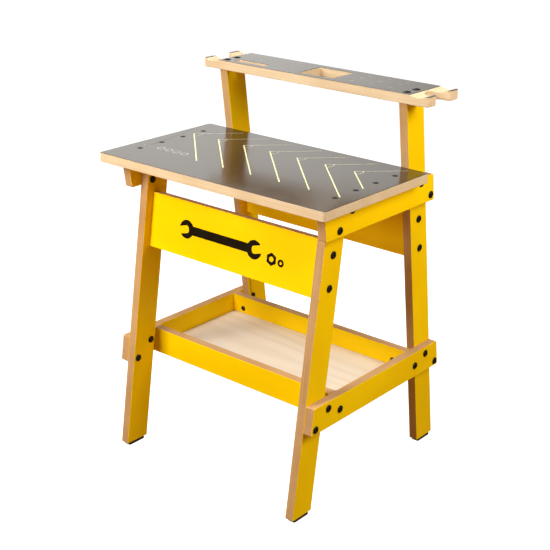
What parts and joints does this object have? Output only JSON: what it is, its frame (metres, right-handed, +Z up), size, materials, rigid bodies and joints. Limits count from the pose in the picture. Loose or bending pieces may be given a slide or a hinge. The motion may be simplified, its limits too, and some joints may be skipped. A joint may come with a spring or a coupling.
{
  "type": "toy tool bench",
  "caption": "Child's wooden play workbench: laminated bench top on splayed plank legs, low tray, and a tool shelf with forked ends, a window and a slot above the back.",
  "frame": {"origin": "on the floor, in the middle between the legs", "axes": "+X to the bench's right, +Y to its back, +Z up"},
  "size_m": [0.4513, 0.3806, 0.6217],
  "materials": {
    "yellow_board": "plywood with bright yellow painted faces and bare cut edges",
    "laminated_board": "plywood with a glossy dark grey-brown laminated upper face and bare cut edges",
    "birch_panel": "pale bare birch plywood, sanded",
    "black_bolt": "black coated steel, satin",
    "foot_pad": "matt black"
  },
  "bodies": {
    "root": {"bench_top": "laminated_board", "tool_shelf": "laminated_board", "front_apron": "yellow_board", "rear_apron": "yellow_board", "tray_front_board": "yellow_board", "tray_rear_board": "yellow_board", "top_rail_left": "yellow_board", "lower_rail_left": "yellow_board", "front_leg_left": "yellow_board", "rear_leg_left": "yellow_board", "top_rail_right": "yellow_board", "lower_rail_right": "yellow_board", "front_leg_right": "yellow_board", "rear_leg_right": "yellow_board", "tray_bottom_panel": "birch_panel", "front_foot_pad_left": "foot_pad", "rear_foot_pad_left": "foot_pad", "front_foot_pad_right": "foot_pad", "rear_foot_pad_right": "foot_pad", "top_rail_bolt_front_upper_left": "black_bolt", "lower_rail_bolt_front_upper_left": "black_bolt", "front_apron_bolt_upper_left": "black_bolt", "top_rail_bolt_front_lower_left": "black_bolt", "lower_rail_bolt_front_lower_left": "black_bolt", "front_apron_bolt_lower_left": "black_bolt", "tray_bolt_front_left": "black_bolt", "shelf_bolt_front_left": "black_bolt", "top_rail_bolt_rear_upper_left": "black_bolt", "lower_rail_bolt_rear_upper_left": "black_bolt", "rear_apron_bolt_upper_left": "black_bolt", "top_rail_bolt_rear_lower_left": "black_bolt", "lower_rail_bolt_rear_lower_left": "black_bolt", "rear_apron_bolt_lower_left": "black_bolt", "tray_bolt_rear_left": "black_bolt", "shelf_bolt_rear_left": "black_bolt", "top_rail_bolt_front_upper_right": "black_bolt", "lower_rail_bolt_front_upper_right": "black_bolt", "front_apron_bolt_upper_right": "black_bolt", "top_rail_bolt_front_lower_right": "black_bolt", "lower_rail_bolt_front_lower_right": "black_bolt", "front_apron_bolt_lower_right": "black_bolt", "tray_bolt_front_right": "black_bolt", "shelf_bolt_front_right": "black_bolt", "top_rail_bolt_rear_upper_right": "black_bolt", "lower_rail_bolt_rear_upper_right": "black_bolt", "rear_apron_bolt_upper_right": "black_bolt", "top_rail_bolt_rear_lower_right": "black_bolt", "lower_rail_bolt_rear_lower_right": "black_bolt", "rear_apron_bolt_lower_right": "black_bolt", "tray_bolt_rear_right": "black_bolt", "shelf_bolt_rear_right": "black_bolt", "top_screw_1_left": "black_bolt", "top_screw_2_left": "black_bolt", "top_screw_3_left": "black_bolt", "top_screw_4_left": "black_bolt", "top_screw_1_right": "black_bolt", "top_screw_2_right": "black_bolt", "top_screw_3_right": "black_bolt", "top_screw_4_right": "black_bolt"}
  },
  "joints": []
}
